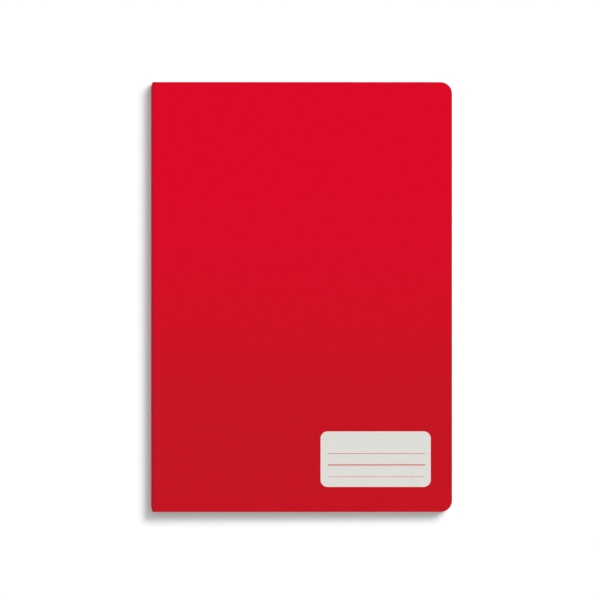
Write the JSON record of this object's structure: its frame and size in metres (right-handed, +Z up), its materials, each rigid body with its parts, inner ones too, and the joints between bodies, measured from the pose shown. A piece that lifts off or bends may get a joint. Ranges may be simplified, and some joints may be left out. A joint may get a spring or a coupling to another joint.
{
  "type": "stapled school notebook",
  "caption": "Thin large-format school notebook with a folded card cover, rounded fore-edge corners and sheets stapled through the fold.",
  "frame": {"origin": "centre of the outside box, in the plane of the back cover's outer face, which the notebook lies on", "axes": "+X from the spine to the fore-edge, +Y along the page towards its head, +Z up out of the front cover"},
  "size_m": [0.2086, 0.297, 0.0041],
  "materials": {
    "cover_card": "satin red printed card, off-white uncoated inside",
    "paper": "matt white writing paper, ruled in light blue",
    "staple_wire": "bright galvanised steel wire"
  },
  "bodies": {
    "back_cover": {"back_cover": "cover_card"},
    "spine": {"cover_spine": "cover_card", "sheet_fold_01": "paper", "sheet_fold_02": "paper", "sheet_fold_03": "paper", "sheet_fold_04": "paper", "sheet_fold_05": "paper", "sheet_fold_06": "paper", "sheet_fold_07": "paper", "sheet_fold_08": "paper", "sheet_fold_09": "paper", "sheet_fold_10": "paper", "sheet_fold_11": "paper", "sheet_fold_12": "paper", "staple_top": "staple_wire", "staple_bottom": "staple_wire"},
    "cover_hinge_strip": {"cover_hinge_strip": "cover_card"},
    "front_cover": {"front_cover": "cover_card"},
    "leaf_01": {"leaf_01": "paper"},
    "leaf_02": {"leaf_02": "paper"},
    "leaf_03": {"leaf_03": "paper"},
    "leaf_04": {"leaf_04": "paper"},
    "leaf_05": {"leaf_05": "paper"},
    "leaf_06": {"leaf_06": "paper"},
    "leaf_07": {"leaf_07": "paper"},
    "leaf_08": {"leaf_08": "paper"},
    "leaf_09": {"leaf_09": "paper"},
    "leaf_10": {"leaf_10": "paper"},
    "leaf_11": {"leaf_11": "paper"},
    "leaf_12": {"leaf_12": "paper"},
    "leaf_13": {"leaf_13": "paper"},
    "leaf_14": {"leaf_14": "paper"},
    "leaf_15": {"leaf_15": "paper"},
    "leaf_16": {"leaf_16": "paper"},
    "leaf_17": {"leaf_17": "paper"},
    "leaf_18": {"leaf_18": "paper"},
    "leaf_19": {"leaf_19": "paper"},
    "leaf_20": {"leaf_20": "paper"},
    "leaf_21": {"leaf_21": "paper"},
    "leaf_22": {"leaf_22": "paper"},
    "leaf_23": {"leaf_23": "paper"},
    "leaf_24": {"leaf_24": "paper"}
  },
  "joints": [
    {"name": "notebook_open", "type": "hinge", "parent": "back_cover", "child": "leaf_12", "pos_m": [-0.1017, 0, 0.00204], "axis": [0, -1, 0], "range_deg": [0, 174]},
    {"name": "front_cover_open", "type": "hinge", "parent": "cover_hinge_strip", "child": "front_cover", "pos_m": [-0.09359, 0, 0.00436], "axis": [0, -1, 0], "range_deg": [0, 179]},
    {"name": "spine_turn", "type": "hinge", "parent": "back_cover", "child": "spine", "pos_m": [-0.1017, 0, 0.00204], "axis": [0, -1, 0], "range_deg": [0, 90]},
    {"name": "hinge_strip_turn", "type": "hinge", "parent": "back_cover", "child": "cover_hinge_strip", "pos_m": [-0.1017, 0, 0.00204], "axis": [0, -1, 0], "range_deg": [0, 179.9]},
    {"name": "leaf_01_turn", "type": "hinge", "parent": "back_cover", "child": "leaf_01", "pos_m": [-0.1017, 0, 0.00204], "axis": [0, -1, 0], "range_deg": [0, 179.5]},
    {"name": "leaf_02_turn", "type": "hinge", "parent": "back_cover", "child": "leaf_02", "pos_m": [-0.1017, 0, 0.00204], "axis": [0, -1, 0], "range_deg": [0, 179]},
    {"name": "leaf_03_turn", "type": "hinge", "parent": "back_cover", "child": "leaf_03", "pos_m": [-0.1017, 0, 0.00204], "axis": [0, -1, 0], "range_deg": [0, 178.5]},
    {"name": "leaf_04_turn", "type": "hinge", "parent": "back_cover", "child": "leaf_04", "pos_m": [-0.1017, 0, 0.00204], "axis": [0, -1, 0], "range_deg": [0, 178]},
    {"name": "leaf_05_turn", "type": "hinge", "parent": "back_cover", "child": "leaf_05", "pos_m": [-0.1017, 0, 0.00204], "axis": [0, -1, 0], "range_deg": [0, 177.5]},
    {"name": "leaf_06_turn", "type": "hinge", "parent": "back_cover", "child": "leaf_06", "pos_m": [-0.1017, 0, 0.00204], "axis": [0, -1, 0], "range_deg": [0, 177]},
    {"name": "leaf_07_turn", "type": "hinge", "parent": "back_cover", "child": "leaf_07", "pos_m": [-0.1017, 0, 0.00204], "axis": [0, -1, 0], "range_deg": [0, 176.5]},
    {"name": "leaf_08_turn", "type": "hinge", "parent": "back_cover", "child": "leaf_08", "pos_m": [-0.1017, 0, 0.00204], "axis": [0, -1, 0], "range_deg": [0, 176]},
    {"name": "leaf_09_turn", "type": "hinge", "parent": "back_cover", "child": "leaf_09", "pos_m": [-0.1017, 0, 0.00204], "axis": [0, -1, 0], "range_deg": [0, 175.5]},
    {"name": "leaf_10_turn", "type": "hinge", "parent": "back_cover", "child": "leaf_10", "pos_m": [-0.1017, 0, 0.00204], "axis": [0, -1, 0], "range_deg": [0, 175]},
    {"name": "leaf_11_turn", "type": "hinge", "parent": "back_cover", "child": "leaf_11", "pos_m": [-0.1017, 0, 0.00204], "axis": [0, -1, 0], "range_deg": [0, 174.5]},
    {"name": "leaf_13_turn", "type": "hinge", "parent": "back_cover", "child": "leaf_13", "pos_m": [-0.1017, 0, 0.00204], "axis": [0, -1, 0], "range_deg": [0, 6]},
    {"name": "leaf_14_turn", "type": "hinge", "parent": "back_cover", "child": "leaf_14", "pos_m": [-0.1017, 0, 0.00204], "axis": [0, -1, 0], "range_deg": [0, 5.5]},
    {"name": "leaf_15_turn", "type": "hinge", "parent": "back_cover", "child": "leaf_15", "pos_m": [-0.1017, 0, 0.00204], "axis": [0, -1, 0], "range_deg": [0, 5]},
    {"name": "leaf_16_turn", "type": "hinge", "parent": "back_cover", "child": "leaf_16", "pos_m": [-0.1017, 0, 0.00204], "axis": [0, -1, 0], "range_deg": [0, 4.5]},
    {"name": "leaf_17_turn", "type": "hinge", "parent": "back_cover", "child": "leaf_17", "pos_m": [-0.1017, 0, 0.00204], "axis": [0, -1, 0], "range_deg": [0, 4]},
    {"name": "leaf_18_turn", "type": "hinge", "parent": "back_cover", "child": "leaf_18", "pos_m": [-0.1017, 0, 0.00204], "axis": [0, -1, 0], "range_deg": [0, 3.5]},
    {"name": "leaf_19_turn", "type": "hinge", "parent": "back_cover", "child": "leaf_19", "pos_m": [-0.1017, 0, 0.00204], "axis": [0, -1, 0], "range_deg": [0, 3]},
    {"name": "leaf_20_turn", "type": "hinge", "parent": "back_cover", "child": "leaf_20", "pos_m": [-0.1017, 0, 0.00204], "axis": [0, -1, 0], "range_deg": [0, 2.5]},
    {"name": "leaf_21_turn", "type": "hinge", "parent": "back_cover", "child": "leaf_21", "pos_m": [-0.1017, 0, 0.00204], "axis": [0, -1, 0], "range_deg": [0, 2]},
    {"name": "leaf_22_turn", "type": "hinge", "parent": "back_cover", "child": "leaf_22", "pos_m": [-0.1017, 0, 0.00204], "axis": [0, -1, 0], "range_deg": [0, 1.5]},
    {"name": "leaf_23_turn", "type": "hinge", "parent": "back_cover", "child": "leaf_23", "pos_m": [-0.1017, 0, 0.00204], "axis": [0, -1, 0], "range_deg": [0, 1]},
    {"name": "leaf_24_turn", "type": "hinge", "parent": "back_cover", "child": "leaf_24", "pos_m": [-0.1017, 0, 0.00204], "axis": [0, -1, 0], "range_deg": [0, 0.5]}
  ],
  "couplings": [
    {"joint": "spine_turn", "follows": "notebook_open", "ratio": 0.51724},
    {"joint": "hinge_strip_turn", "follows": "notebook_open", "ratio": 1.0339},
    {"joint": "leaf_01_turn", "follows": "notebook_open", "ratio": 1.0316},
    {"joint": "leaf_02_turn", "follows": "notebook_open", "ratio": 1.0287},
    {"joint": "leaf_03_turn", "follows": "notebook_open", "ratio": 1.0259},
    {"joint": "leaf_04_turn", "follows": "notebook_open", "ratio": 1.023},
    {"joint": "leaf_05_turn", "follows": "notebook_open", "ratio": 1.0201},
    {"joint": "leaf_06_turn", "follows": "notebook_open", "ratio": 1.0172},
    {"joint": "leaf_07_turn", "follows": "notebook_open", "ratio": 1.0144},
    {"joint": "leaf_08_turn", "follows": "notebook_open", "ratio": 1.0115},
    {"joint": "leaf_09_turn", "follows": "notebook_open", "ratio": 1.0086},
    {"joint": "leaf_10_turn", "follows": "notebook_open", "ratio": 1.0057},
    {"joint": "leaf_11_turn", "follows": "notebook_open", "ratio": 1.0029},
    {"joint": "leaf_13_turn", "follows": "notebook_open", "ratio": 0.034483},
    {"joint": "leaf_14_turn", "follows": "notebook_open", "ratio": 0.031609},
    {"joint": "leaf_15_turn", "follows": "notebook_open", "ratio": 0.028736},
    {"joint": "leaf_16_turn", "follows": "notebook_open", "ratio": 0.025862},
    {"joint": "leaf_17_turn", "follows": "notebook_open", "ratio": 0.022989},
    {"joint": "leaf_18_turn", "follows": "notebook_open", "ratio": 0.020115},
    {"joint": "leaf_19_turn", "follows": "notebook_open", "ratio": 0.017241},
    {"joint": "leaf_20_turn", "follows": "notebook_open", "ratio": 0.014368},
    {"joint": "leaf_21_turn", "follows": "notebook_open", "ratio": 0.011494},
    {"joint": "leaf_22_turn", "follows": "notebook_open", "ratio": 0.0086207},
    {"joint": "leaf_23_turn", "follows": "notebook_open", "ratio": 0.0057471},
    {"joint": "leaf_24_turn", "follows": "notebook_open", "ratio": 0.0028736}
  ]
}
